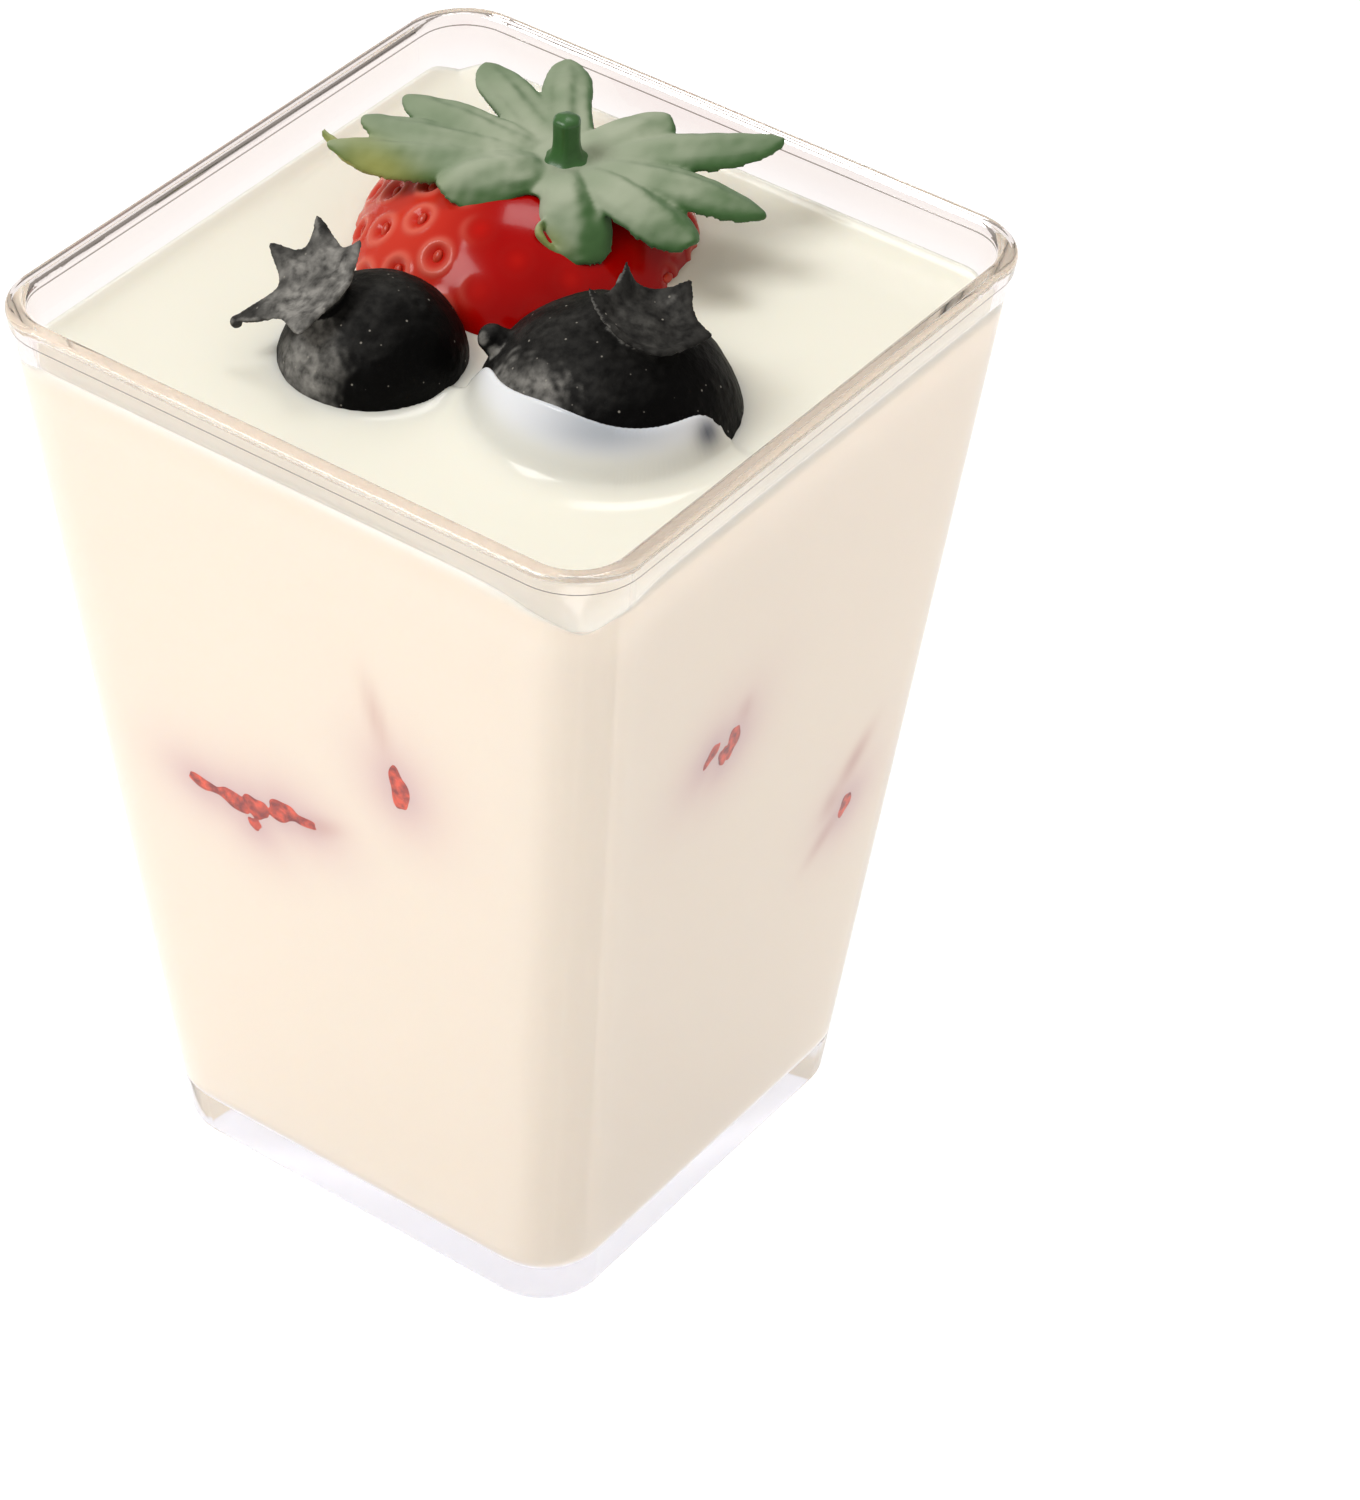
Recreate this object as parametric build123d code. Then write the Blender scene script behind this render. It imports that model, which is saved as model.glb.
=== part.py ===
from build123d import *
import os

# A square dessert cup of clear plastic, filled with cream and topped with a strawberry and two
# dark berries. Millimetres, +Z up. The origin is the middle of the cup's underside, and the faces of
# the cup look along X and Y. Each piece is one solid, written to parts/NODE.step.

# ---- cup ----
cup_height = 80.0
rim_side = 55.5        # outside, across the flats under the lip
base_side = 40.0       # outside, across the flats at the base
corner_radius = 5.3    # outside, the same from base to rim
wall = 1.3
floor_thickness = 3.2
base_edge_round = 0.7
cavity_edge_round = 1.6
lip_height = 1.4
lip_overhang = 0.25    # how far the rim's band stands out of the wall
lip_round = 0.5

# ---- cream ----
cream_below_rim = 5.0
wetting_gap = 0.05     # between the cream and what it lies against

# ---- strawberry, upright and sunk to its widest part ----
strawberry_x = -6.9
strawberry_y = 10.4
strawberry_radius = 13.2
strawberry_shoulder = 9.2      # from the widest section up to the top
strawberry_taper = 17.0        # from the widest section down to the tip
strawberry_sunk = 2.5          # how far the widest section lies under the cream's surface

# ---- leaf cap ----
cap_x = -4.0
cap_y = 11.1
cap_radius = 2.8
cap_seat = 0.9         # how deep the cap sits in the fruit
cap_rise = 0.25        # how far its middle stands above the leaves
leaf_thickness = 0.9
leaf_root_width = 3.4
leaf_fullness = 0.36   # half the leaf's width near its tip, as a share of the width
stem_radius = 1.1
stem_length = 3.6
stem_foot_radius = 1.8
stem_foot_height = 1.1
stem_end_round = 0.5

# Each leaf: direction in degrees from +X, length from the stem, width, drop of its tip, bow.
leaves = (
    (147.0, 14.6, 3.4, 0.3, 0.5),
    (130.0, 14.4, 3.4, 0.3, 0.5),
    (187.0, 14.0, 4.6, -0.6, 0.2),
    (210.0, 17.3, 6.0, -0.9, 0.0),
    (233.0, 9.6, 4.6, 0.6, 0.8),
    (306.0, 9.2, 4.8, 3.0, 0.9),
    (357.0, 12.6, 5.4, 1.4, 0.9),
    (19.0, 15.4, 3.8, 0.5, 1.0),
    (46.0, 15.6, 4.0, -0.9, 0.6),
    (72.0, 8.4, 4.4, -1.0, 0.4),
)

# ---- the two berries ----
crown_wall = 0.6
crown_dish = 0.7       # depth of the hollow inside a crown
neck_share = 0.17      # where a crown's neck starts, as a share of the way from top to waist
lobe_reach_in = 1.2    # how far a crown lobe starts inside the crown's rim
lobe_fullness = 0.2    # half the lobe's width near its tip, as a share of the width

left_x = -5.8
left_y = -9.7
left_sunk = 0.4        # how far the middle lies under the cream's surface
left_radius = 7.2
left_half_height = 6.7
left_axis = (-0.30, -0.30, 0.91)
left_side = (0.50, 0.76, 0.41)         # the direction from which its crown's lobes are counted
left_crown_radius = 2.8
left_crown_height = 1.1        # from the fruit's top to the crown's rim
# Each crown lobe: direction round the berry's own axis, length from the axis, width, rise.
left_lobes = (
    (14.0, 4.0, 2.8, 0.3),
    (62.0, 5.7, 3.2, 0.7),
    (102.0, 5.9, 3.4, 0.7),
    (158.0, 6.3, 3.0, 0.1),
    (230.0, 4.4, 3.2, -0.2),
)

right_x = 11.5
right_y = -4.1
right_sunk = 1.5
right_radius = 10.0
right_half_height = 9.9
right_axis = (0.20, 0.12, 0.97)
right_side = (0.89, 0.37, -0.26)
right_crown_radius = 3.5
right_crown_height = 0.3
right_lobes = (
    (6.0, 4.8, 2.6, 0.3),
    (66.0, 4.8, 3.6, 1.5),
    (134.0, 4.6, 2.8, 1.4),
    (186.0, 4.9, 2.6, 0.6),
    (236.0, 4.4, 2.6, 0.8),
)

nub_radius = 1.2       # the bump on the side of the right berry
nub_distance = right_radius + nub_radius / 2     # from the berry's middle to the bump's
nub_direction = (-0.64, -0.27, 0.50)

cream_top = cup_height - cream_below_rim
wall_slope = (rim_side - base_side) / 2 / cup_height
standing = (Align.CENTER, Align.CENTER, Align.MIN)


def square_at(height, inset):
    """The cup's rounded-square section at a height, drawn in from its outer face by inset."""
    side = base_side + 2 * wall_slope * height - 2 * inset
    return Plane.XY.offset(height) * RectangleRounded(side, side, corner_radius - inset)


def tapered(low, high, inset):
    """The solid between two heights of the cup's outer face, drawn in by inset."""
    return loft([square_at(low, inset), square_at(high, inset)], ruled=True)


def inside(low, high, gap):
    """The space inside the walls, with the rounded edge where they meet the floor."""
    space = tapered(low, high, wall + gap)
    bottom = space.faces().sort_by(Axis.Z)[0]
    return fillet(bottom.edges(), cavity_edge_round - gap)


def make_cup():
    body = tapered(0, cup_height, 0)
    underside = body.faces().sort_by(Axis.Z)[0]
    body = fillet(underside.edges(), base_edge_round)
    body += tapered(cup_height - lip_height, cup_height, -lip_overhang)
    past_rim = 2.0
    body -= inside(floor_thickness, cup_height + past_rim, 0)
    rim = body.faces().sort_by(Axis.Z)[-1]
    return fillet(rim.edges(), lip_round)


def turned(outline):
    """A closed outline, drawn as distance from the axis and height, turned about Z."""
    return revolve(Plane.XZ * make_face(outline), Axis.Z)


def quarter(radius, height):
    """A quarter of an oval, from the axis at the given height out to the radius at height 0."""
    full = 0.5523      # the share of each half-axis at which a curve's handles give a true oval
    return Bezier((0, height), (radius * full, height), (radius, height * full), (radius, 0))


def make_strawberry(grow):
    """The fruit without its leaf cap, larger all over by grow."""
    radius = strawberry_radius + grow
    top = strawberry_shoulder + grow
    tip = -strawberry_taper - grow
    taper = Bezier((0, tip), (radius * 0.55, tip), (radius, tip * 0.45), (radius, 0))
    fruit = turned([taper, quarter(radius, top), Line((0, top), (0, tip))])
    return Pos(strawberry_x, strawberry_y, cream_top - strawberry_sunk) * fruit


def cap_floor():
    """The height of the flat on which the leaf cap sits."""
    return cream_top - strawberry_sunk + strawberry_shoulder - cap_seat


def leaf(length, width, root_width, drop, bow, thickness, start, fullness):
    """A leaf along +X from x = start, of even thickness, bowed up and dropping to its tip."""
    edge = Spline(
        (start, root_width / 2),
        (start + (length - start) * 0.55, width / 2),
        (start + (length - start) * 0.86, width * fullness),
        (length, 0),
        tangents=[(1, 0), (fullness, -1)],
    )
    root = Line((start, -root_width / 2), (start, root_width / 2))
    outline = make_face([edge, mirror(edge, Plane.XZ), root])
    tall = 2 * (abs(drop) + abs(bow) + thickness)
    flat = extrude(outline, tall, both=True)
    past = length * 1.02
    upper = ThreePointArc(
        (start, thickness),
        ((start + past) / 2, thickness + bow - drop * 0.35),
        (past, thickness - drop),
    )
    lower = Pos(0, -thickness) * upper
    strip = make_face([upper, lower, Line(upper @ 0, lower @ 0), Line(upper @ 1, lower @ 1)])
    return flat & extrude(Plane.XZ * strip, width, both=True)


def make_leaf_cap():
    """The ring of leaves and the short stem, one piece, on the flat at the fruit's top."""
    hub_height = cap_seat + leaf_thickness + cap_rise
    cap = Cylinder(cap_radius, hub_height, align=standing)
    start = cap_radius * 0.4
    for direction, length, width, drop, bow in leaves:
        blade = leaf(length, width, leaf_root_width, drop, bow, leaf_thickness, start, leaf_fullness)
        cap += Rot(0, 0, direction) * Pos(0, 0, cap_seat) * blade
    cap += Pos(0, 0, hub_height) * Cone(stem_foot_radius, stem_radius, stem_foot_height, align=standing)
    stem = Cylinder(stem_radius, stem_length, align=standing)
    stem = fillet(stem.edges().sort_by(Axis.Z)[-1], stem_end_round)
    cap += Pos(0, 0, hub_height) * stem
    return Pos(cap_x, cap_y, cap_floor()) * cap


def cap_pocket():
    """The space of the cap's hub, cut out of the fruit."""
    return Pos(cap_x, cap_y, cap_floor()) * Cylinder(cap_radius, 2 * cap_seat, align=standing)


def oval(radius, half_height, grow):
    """An oval fruit round the origin, without its crown, larger all over by grow."""
    wide = radius + grow
    tall = half_height + grow
    return turned([quarter(wide, -tall), quarter(wide, tall), Line((0, tall), (0, -tall))])


def crowned(radius, half_height, crown_radius, crown_height, lobes):
    """An oval fruit whose top opens into a shallow dish with pointed lobes, on a short neck."""
    lower = quarter(radius, -half_height)
    upper = quarter(radius, half_height).trim(neck_share, 1)
    rim = half_height + crown_height
    lip = (crown_radius - crown_wall * 0.4, rim + crown_wall * 0.4)
    neck = Spline(upper @ 0, (crown_radius, rim), tangents=[(0, 1), (1, 0.6)])
    edge = Line((crown_radius, rim), lip)
    dish = Spline(lip, (0, rim - crown_dish), tangents=[(-1, -0.5), (-1, 0)])
    axis = Line((0, rim - crown_dish), (0, -half_height))
    fruit = turned([lower, upper, neck, edge, dish, axis])
    for direction, length, width, rise in lobes:
        start = crown_radius - lobe_reach_in
        lobe = leaf(length, width * 0.8, width, -rise, 0, crown_wall, start, lobe_fullness)
        fruit += Rot(0, 0, direction) * Pos(0, 0, rim - crown_wall * 0.7) * lobe
    return fruit


def left_place():
    """The left berry's middle, with its own axis as +Z."""
    return Plane(origin=(left_x, left_y, cream_top - left_sunk), x_dir=left_side, z_dir=left_axis)


def right_place():
    """The right berry's middle, with its own axis as +Z."""
    return Plane(origin=(right_x, right_y, cream_top - right_sunk), x_dir=right_side, z_dir=right_axis)


def make_left_berry():
    sizes = (left_radius, left_half_height, left_crown_radius, left_crown_height)
    return left_place() * crowned(*sizes, left_lobes)


def make_right_berry():
    sizes = (right_radius, right_half_height, right_crown_radius, right_crown_height)
    fruit = right_place() * crowned(*sizes, right_lobes)
    return fruit + make_nub()


def make_nub():
    """The small round bump on the right berry's side, which reaches into the fruit."""
    middle = Vector(right_x, right_y, cream_top - right_sunk)
    away = Vector(*nub_direction).normalized()
    return Pos(middle + away * nub_distance) * Sphere(nub_radius)


def make_cream():
    """The filling, up to its level, cut round the fruit that stands in it."""
    filling = inside(floor_thickness + wetting_gap, cream_top, wetting_gap)
    filling -= make_strawberry(wetting_gap)
    filling -= left_place() * oval(left_radius, left_half_height, wetting_gap)
    filling -= right_place() * oval(right_radius, right_half_height, wetting_gap)
    return filling


pieces = {
    "cup": make_cup(),
    "cream": make_cream(),
    "strawberry": make_strawberry(0) - cap_pocket(),
    "leaf_cap": make_leaf_cap(),
    "left_berry": make_left_berry(),
    "right_berry": make_right_berry(),
}

os.makedirs("parts", exist_ok=True)
for name, piece in pieces.items():
    box = piece.bounding_box()
    print(name, "volume", round(piece.volume, 1), "from", box.min, "to", box.max)
    export_step(piece, f"parts/{name}.step")
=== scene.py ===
# %% [markdown]
# A single-serving dessert: a square cup of clear plastic, filled nearly to its rim with a smooth
# cream, and topped with a strawberry that wears its leaf cap and with two dark berries. The CAD
# model gives the sizes and places. This script gives each piece its true surface. It starts with
# the frame and the small helpers that the later steps share.

import math

import bpy
import numpy as np
from mathutils import Matrix, Quaternion, Vector, noise


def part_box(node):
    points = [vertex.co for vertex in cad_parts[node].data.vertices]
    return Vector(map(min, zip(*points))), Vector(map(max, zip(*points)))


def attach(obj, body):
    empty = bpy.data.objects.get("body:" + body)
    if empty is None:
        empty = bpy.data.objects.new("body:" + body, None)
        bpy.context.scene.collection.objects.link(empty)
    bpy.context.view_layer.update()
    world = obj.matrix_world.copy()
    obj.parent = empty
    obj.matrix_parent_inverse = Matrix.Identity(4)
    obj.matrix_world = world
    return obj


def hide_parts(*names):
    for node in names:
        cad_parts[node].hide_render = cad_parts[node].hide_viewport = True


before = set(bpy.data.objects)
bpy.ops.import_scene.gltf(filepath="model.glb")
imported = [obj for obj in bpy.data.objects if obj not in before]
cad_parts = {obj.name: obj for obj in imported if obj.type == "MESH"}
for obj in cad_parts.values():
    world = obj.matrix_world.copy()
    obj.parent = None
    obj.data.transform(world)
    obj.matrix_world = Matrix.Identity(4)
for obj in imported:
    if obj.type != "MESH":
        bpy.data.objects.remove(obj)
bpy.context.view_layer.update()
mm = 0.001


def box_mm(node):
    """A node's lowest and highest corner in millimetres."""
    low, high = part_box(node)
    return np.array(low) / mm, np.array(high) / mm


def linear(hex_colour):
    """An sRGB hex colour as the linear colour that shaders take."""
    parts = [int(hex_colour[i:i + 2], 16) / 255 for i in (1, 3, 5)]
    return (*[p / 12.92 if p <= 0.04045 else ((p + 0.055) / 1.055) ** 2.4 for p in parts], 1.0)


def soft_step(low, high, value):
    """0 below low, 1 above high, and a smooth rise between them."""
    t = np.clip((value - low) / (high - low), 0, 1)
    return t * t * (3 - 2 * t)


def unit(vector):
    """A vector at length 1."""
    vector = np.asarray(vector, float)
    return vector / np.linalg.norm(vector)


def new_mesh(name, points, faces):
    """A smooth-shaded mesh from points in millimetres."""
    mesh = bpy.data.meshes.new(name)
    mesh.from_pydata((np.asarray(points) * mm).tolist(), [], faces)
    mesh.validate()
    mesh.shade_smooth()
    return mesh


def new_object(name, mesh):
    """An object at the origin, unturned, that shows a mesh."""
    thing = bpy.data.objects.new(name, mesh)
    bpy.context.scene.collection.objects.link(thing)
    return thing


def grid_faces(rings, around):
    """Quads between closed rings of points that follow each other."""
    faces = []
    for ring in range(rings - 1):
        for k in range(around):
            a = ring * around + k
            b = ring * around + (k + 1) % around
            faces.append((a, b, b + around, a + around))
    return faces


def capped(points, around, downward=False):
    """A closed shell from rings of points that run upward, or downward, with a face at each end."""
    faces = grid_faces(len(points) // around, around)
    faces.append(tuple(range(around))[::-1])
    faces.append(tuple(len(points) - around + k for k in range(around)))
    return points, [face[::-1] for face in faces] if downward else faces


def turned(profile, around):
    """Rings of points round the Z axis, one for each radius and height of a profile."""
    turns = [2 * math.pi * k / around for k in range(around)]
    points = []
    for reach, height in profile:
        points += [(reach * math.cos(turn), reach * math.sin(turn), height) for turn in turns]
    return points


def set_values(mesh, name, values):
    """One number for each point of a mesh, for its material to read."""
    mesh.attributes.new(name, "FLOAT", "POINT").data.foreach_set("value", np.asarray(values, np.float32))


def points_of(mesh):
    """The points of a mesh in millimetres."""
    flat = np.empty(len(mesh.vertices) * 3, np.float32)
    mesh.vertices.foreach_get("co", flat)
    return flat.reshape(-1, 3).astype(float) / mm


def normals_of(mesh):
    """The direction in which each point of a mesh faces."""
    flat = np.empty(len(mesh.vertices) * 3, np.float32)
    mesh.vertex_normals.foreach_get("vector", flat)
    return flat.reshape(-1, 3).astype(float)


def away_from(middle, points):
    """How far points lie from the upright line through a middle."""
    return np.hypot(points[:, 0] - middle[0], points[:, 1] - middle[1])


def uneven(points, size, seed):
    """Smooth random numbers from about -1 to 1, with lumps of the given size in millimetres."""
    shift = Vector((seed * 7.3, seed * 3.1, seed * 5.7))
    return np.array([noise.noise(Vector(p) / size + shift) for p in points])


# %% [markdown]
# Moulded, organic forms such as leaves and withered crowns are hard to stitch together by hand.
# A simpler way is to lay closed shells so that they run into each other, let a voxel remesh fuse
# them into one skin, and smooth that skin a little. Every join then gets the soft fillet that a
# moulded or grown form has. The shells are worked in millimetres, and the skin is brought to
# metres afterwards, because a voxel can't be as small as these details need in metres.

# %% Fuse shells into one skin
def fused(name, shells, voxel, rounds):
    """One smooth skin round closed shells of (points, faces) in millimetres, as a mesh in metres."""
    points, faces = [], []
    for shell_points, shell_faces in shells:
        first = len(points)
        points.extend(np.asarray(shell_points).tolist())
        faces.extend(tuple(first + k for k in face) for face in shell_faces)
    rough = bpy.data.meshes.new(name + "_rough")
    rough.from_pydata(points, [], faces)
    lump = new_object(name + "_rough", rough)
    remesh = lump.modifiers.new("fuse", "REMESH")
    remesh.mode = "VOXEL"
    remesh.voxel_size = voxel
    smooth = lump.modifiers.new("soften", "SMOOTH")
    smooth.factor = 0.5
    smooth.iterations = rounds
    mesh = bpy.data.meshes.new_from_object(lump.evaluated_get(bpy.context.evaluated_depsgraph_get()))
    bpy.data.objects.remove(lump)
    mesh.name = name
    mesh.transform(Matrix.Scale(mm, 4))
    mesh.shade_smooth()
    print(name, "fused into", len(mesh.polygons), "faces")
    return mesh


# %% [markdown]
# A material is a small tree of nodes. One function adds any node: its plain settings are given by
# name, and its sockets either get a number or a colour, or are linked to another node's output. A
# colour mix has its factor in socket 0 and its two colours in sockets 6 and 7. Most finishes here
# are one base colour with a few thin tints over it, each where the mesh carries a number for it.

# %% Start a material and add a node
def add(tree, kind, sockets=(), **settings):
    """A node with its settings, and its sockets set or linked."""
    node = tree.nodes.new(kind)
    for name, value in settings.items():
        setattr(node, name, value)
    for name, value in dict(sockets).items():
        if isinstance(value, bpy.types.NodeSocket):
            tree.links.new(value, node.inputs[name])
        else:
            node.inputs[name].default_value = value
    return node


def new_material(name):
    """An empty material, its tree, and the output that its shader goes to."""
    material = bpy.data.materials.new(name)
    material.use_nodes = True
    tree = material.node_tree
    tree.nodes.clear()
    return material, tree, tree.nodes.new("ShaderNodeOutputMaterial")


def tinted(tree, colour, layers):
    """A colour under thin tints: each has the number it follows, its full share and its hex colour."""
    for name, share, tint in layers:
        value = add(tree, "ShaderNodeAttribute", attribute_name=name).outputs["Fac"]
        part = add(tree, "ShaderNodeMath", {0: value, 1: share}, operation="MULTIPLY").outputs[0]
        mix = add(tree, "ShaderNodeMix", {0: part, 6: colour, 7: linear(tint)}, data_type="RGBA")
        colour = mix.outputs[2]
    return colour


print("helpers ready; a mid grey is", round(linear("#808080")[0], 3), "in linear light")


# %% [markdown]
# The cup is injection-moulded clear polystyrene, the usual plastic of rigid dessert cups: hard,
# glossy and water-clear. Its shape comes from the CAD model as it is, and only its material is new.
# Above the cream its clear colour turns a little warm with height, which lets the rim and upper wall read
# against the white.
# Lamps have to light the cream through the walls, and real bent light would leave it noisy and
# dark, so a ray that looks for a lamp passes straight through.

# %% Clear moulded polystyrene
upper_tint_from = 73
upper_tint_full = 78


def clear_polystyrene():
    """Gives the bright rim lines, the bent view through the base and the faint warm tint at the top."""
    material, tree, output = new_material("clear_moulded_polystyrene")
    place = add(tree, "ShaderNodeTexCoord").outputs["Object"]
    height = add(tree, "ShaderNodeSeparateXYZ", {"Vector": place}).outputs["Z"]
    # A faint warm beige laid on the clear colour above the cream level, so that the rim and upper wall show.
    upper_tint = add(tree, "ShaderNodeMapRange", {
        "Value": height,
        "From Min": upper_tint_from * mm,
        "From Max": upper_tint_full * mm,
    }).outputs[0]
    clear = add(tree, "ShaderNodeMix", {
        0: upper_tint,
        6: linear("#fbfafd"),
        7: linear("#f0e9e7"),
    }, data_type="RGBA")
    shell = add(tree, "ShaderNodeBsdfPrincipled", {
        "Base Color": clear.outputs[2],
        "Roughness": 0.035,
        "IOR": 1.49,
        "Transmission Weight": 1.0,
    })
    open_way = add(tree, "ShaderNodeBsdfTransparent", {"Color": linear("#fafafc")})
    rays = add(tree, "ShaderNodeLightPath")
    mix = add(tree, "ShaderNodeMixShader", {0: rays.outputs["Is Shadow Ray"]})
    tree.links.new(shell.outputs[0], mix.inputs[1])
    tree.links.new(open_way.outputs[0], mix.inputs[2])
    tree.links.new(mix.outputs[0], output.inputs["Surface"])
    return material


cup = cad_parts["cup"]
cup_material = clear_polystyrene()
for cup_slot in cup.material_slots:
    cup_slot.material = cup_material
print("cup has", len(cup.data.polygons), "faces and", len(cup.material_slots), "material slot")

# %% [markdown]
# The cream takes the form of the cup. Where it wets the clear wall there is no air between them,
# so the wall would show a false mirror if the cream stopped short of it: the cream piece reaches a
# little way into the plastic. Its sides are one rounded-square section that grows with height.
# Its top is the same section drawn in ring by ring, and a rule gives the height at each point: a
# level, a slight climb at the wall and at the fruit, and a film that is drawn up over the front of
# the larger berry.

# %% The cup's section, as in the CAD model
cup_height = box_mm("cup")[1][2]
rim_side = 55.5
base_side = 40.0
corner_radius = 5.3
wall = 1.3
cup_floor = 3.2
wall_slope = (rim_side - base_side) / 2 / cup_height
into_wall = 0.15
cream_level = box_mm("cream")[1][2]
print("cream stands at", round(cream_level, 2), "mm in a cup", round(cup_height, 2), "mm high")


def half_side(height, inset):
    """Half of the cup's width at a height, less an inset from its outer face."""
    return base_side / 2 + wall_slope * height - inset


def square_ring(half, radius, straight=56, round_steps=20):
    """Points round a rounded square, the same number for every size."""
    flat = half - radius
    ring = []
    for quarter in range(4):
        turn = quarter * math.pi / 2
        cosine, sine = math.cos(turn), math.sin(turn)
        side = [(half, -flat + 2 * flat * k / straight) for k in range(straight)]
        angles = [math.pi / 2 * k / round_steps for k in range(round_steps)]
        bend = [(flat + radius * math.cos(a), flat + radius * math.sin(a)) for a in angles]
        ring += [(x * cosine - y * sine, x * sine + y * cosine) for x, y in side + bend]
    return np.array(ring)


# %% Where the fruit stands in the cream
def middle_of(node):
    """The middle of a node's box in millimetres."""
    low, high = box_mm(node)
    return (low + high) / 2


strawberry_middle = middle_of("strawberry")
strawberry_top = box_mm("strawberry")[1][2]
strawberry_radius = 13.2
strawberry_shoulder = 9.2
strawberry_widest = strawberry_top - strawberry_shoulder
left_middle = np.array([-5.8, -9.7, cream_level - 0.4])
left_radius = 7.2
right_middle = np.array([11.5, -4.1, cream_level - 1.5])
right_radius = 10.0
# How wide each fruit is where the cream's surface meets it.
strawberry_at_cream = 12.7
left_at_cream = 7.1
right_at_cream = 9.9
print("strawberry at", strawberry_middle[:2].round(1), "and berries at", left_middle[:2], right_middle[:2])


# %% The height of the cream's surface
def smooth_larger(first, second, width):
    """The larger of two heights, with a fillet of the given width where they meet."""
    share = np.clip(0.5 + 0.5 * (first - second) / width, 0, 1)
    return second + (first - second) * share + width * share * (1 - share)


film_middle = math.radians(-72)
film_half_span = math.radians(83)
film_crest = 6.2
film_thickness = 0.3
film_foot = 1.1
wall_climb = 1.15
climb_reach = 0.8
corner_dip = 1.2
fillet = 1.7
# Where fruit stands in the cream: its middle, its radius there and how far the cream climbs it.
fruit_rounds = (
    (strawberry_middle, strawberry_at_cream, 0.7),
    (left_middle, left_at_cream, 0.45),
    (right_middle, right_at_cream, 0.6),
)


def film_limit(turn):
    """How high above the berry's middle the film reaches, by the direction round the berry."""
    crest = film_crest + 0.9 * np.exp(-(((np.degrees(turn) + 85) / 35) ** 2))
    return crest * np.clip(1 - (np.abs(turn - film_middle) / film_half_span) ** 16, 0.02, 1)


def plain_surface(places):
    """The height of the cream without its film: level, with a climb at the wall and the fruit."""
    height = np.full(len(places), cream_level)
    edge = half_side(cream_level, wall) - np.abs(places).max(axis=1)
    height += wall_climb * np.exp(-np.clip(edge, 0, None) / (1.3 * climb_reach))
    for middle, radius, lift in fruit_rounds:
        away = away_from(middle, places) - radius
        height += lift * np.exp(-np.clip(away, 0, None) / climb_reach)
    corner = away_from((25, -25), places)
    return height - corner_dip * np.exp(-((corner / 4.5) ** 2))


def cream_surface(places):
    """The height of the cream at each place, and how much of it is film over the berry."""
    height = plain_surface(places)
    turn = np.arctan2(places[:, 1] - right_middle[1], places[:, 0] - right_middle[0])
    away = away_from(right_middle, places)
    limit = film_limit(turn)
    foot = np.exp(-np.clip(away - 9.7, 0, None) / 1.5)
    height += film_foot * soft_step(1, 5, limit) * foot
    starts_at = np.sqrt(np.clip((right_radius + 0.2) ** 2 - limit ** 2, 0, None))
    covered = soft_step(-0.15, 0.55, away - starts_at) * (limit > 1)
    swell = right_radius + film_thickness * covered - 0.5 * (1 - covered)
    over = right_middle[2] + np.sqrt(np.clip(swell ** 2 - away ** 2, 0, None))
    film = np.where(away < swell, over, -50)
    film_share = covered * soft_step(0.2, 2.5, film - height)
    return smooth_larger(film, height, fillet), film_share, turn


open_place = np.array([[0.0, -20.0]])
print("open cream lies at", plain_surface(open_place).round(2), "mm")


# %% Build the cream
def cream_outline():
    """The rings of the sides from the floor up: height and how far inside the outer face."""
    inset = wall - into_wall
    bottom = cup_floor - into_wall
    turn_in = 1.6
    turn_steps = 6
    heights, insets = [], []
    for k in range(turn_steps + 1):
        angle = math.pi / 2 * k / turn_steps
        heights.append(bottom + turn_in * (1 - math.cos(angle)))
        insets.append(inset + turn_in * (1 - math.sin(angle)))
    side_steps = 150
    start = bottom + turn_in
    for k in range(1, side_steps + 1):
        heights.append(start + (cream_level - 0.1 - start) * k / side_steps)
        insets.append(inset)
    return heights, insets


def build_cream():
    """The cream as one closed mesh, with a note of where its top begins."""
    heights, insets = cream_outline()
    points = []
    for height, inset in zip(heights, insets):
        half = half_side(height, inset)
        ring = square_ring(half, max(corner_radius - inset, 0.8))
        points.append(np.column_stack([ring, np.full(len(ring), height)]))
    around = len(points[0])
    top_inset = wall - into_wall
    outer = square_ring(half_side(cream_level, top_inset), corner_radius - top_inset)
    top_rings = 130
    ring_middle = right_middle[:2]
    for k in range(top_rings):
        ring = ring_middle + (outer - ring_middle) * (1 - k / top_rings)
        height, _, _ = cream_surface(ring)
        points.append(np.column_stack([ring, height]))
    side_rings = len(heights)
    below_top = points[side_rings][:, 2] - 0.1
    points[side_rings - 1][:, 2] = np.minimum(points[side_rings - 1][:, 2], below_top)
    low_middle = [[0, 0, heights[0]]]
    top_height, _, _ = cream_surface(ring_middle[None, :])
    all_points = np.vstack([*points, low_middle, [[*ring_middle, top_height[0]]]])
    rings = side_rings + top_rings
    faces = grid_faces(rings, around)
    low_point, top_point = len(all_points) - 2, len(all_points) - 1
    last = (rings - 1) * around
    for k in range(around):
        after = (k + 1) % around
        faces.append((after, k, low_point))
        faces.append((last + k, last + after, top_point))
    mesh = new_mesh("cream_filling", all_points, faces)
    mesh["top_start"] = side_rings * around
    return mesh


cream_mesh = build_cream()
print("cream has", len(cream_mesh.polygons), "faces")

# %% [markdown]
# Pieces of soft red fruit are sunk in the cream and touch the clear walls in a few places. Where
# one touches, its wet red skin shows. Round it the cream over it is thin, so it looks mauve. Each
# piece is a few flattened lumps fused together, set so that it just reaches into the wall, and the
# cream carries a number that says how near the nearest one is.

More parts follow.
